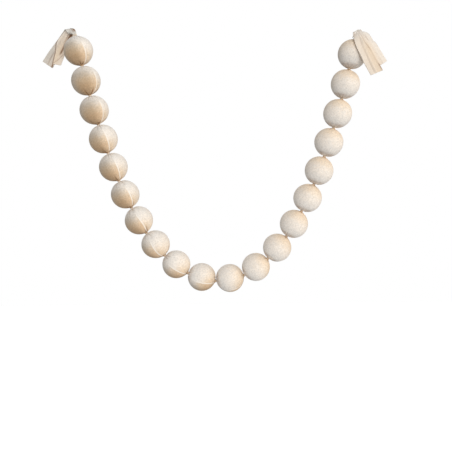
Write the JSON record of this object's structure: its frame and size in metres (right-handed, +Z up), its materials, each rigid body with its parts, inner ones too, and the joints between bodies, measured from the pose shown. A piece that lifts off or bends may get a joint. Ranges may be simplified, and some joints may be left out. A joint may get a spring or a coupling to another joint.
{
  "type": "velvet ball garland",
  "caption": "Garland of stuffed cream velvet balls, tied off along one hanging velvet tube, with a folded free tail at each end that hangs it up.",
  "frame": {"origin": "under the bend of the left tail, where the tail lies over whatever holds it", "axes": "+Z up, +X from the left tail to the right tail, -Y towards the viewer"},
  "size_m": [0.8915, 0.0834, 0.6948],
  "materials": {
    "cream_velvet": "soft velvet pile",
    "tan_thread": "matt cotton thread"
  },
  "bodies": {
    "root": {"velvet_ball_01": "cream_velvet", "velvet_ball_02": "cream_velvet", "velvet_ball_03": "cream_velvet", "velvet_ball_04": "cream_velvet", "velvet_ball_05": "cream_velvet", "velvet_ball_06": "cream_velvet", "velvet_ball_07": "cream_velvet", "velvet_ball_08": "cream_velvet", "velvet_ball_09": "cream_velvet", "velvet_ball_10": "cream_velvet", "velvet_ball_11": "cream_velvet", "velvet_ball_12": "cream_velvet", "velvet_ball_13": "cream_velvet", "velvet_ball_14": "cream_velvet", "velvet_ball_15": "cream_velvet", "velvet_ball_16": "cream_velvet", "velvet_ball_17": "cream_velvet", "velvet_ball_18": "cream_velvet", "velvet_ball_19": "cream_velvet", "velvet_ball_20": "cream_velvet", "tail_left": "cream_velvet", "tail_right": "cream_velvet", "neck_tie_01": "tan_thread", "neck_tie_02": "tan_thread", "neck_tie_03": "tan_thread", "neck_tie_04": "tan_thread", "neck_tie_05": "tan_thread", "neck_tie_06": "tan_thread", "neck_tie_07": "tan_thread", "neck_tie_08": "tan_thread", "neck_tie_09": "tan_thread", "neck_tie_10": "tan_thread", "neck_tie_11": "tan_thread", "neck_tie_12": "tan_thread", "neck_tie_13": "tan_thread", "neck_tie_14": "tan_thread", "neck_tie_15": "tan_thread", "neck_tie_16": "tan_thread", "neck_tie_17": "tan_thread", "neck_tie_18": "tan_thread", "neck_tie_19": "tan_thread", "tail_tie_left": "tan_thread", "tail_tie_right": "tan_thread"}
  },
  "joints": []
}
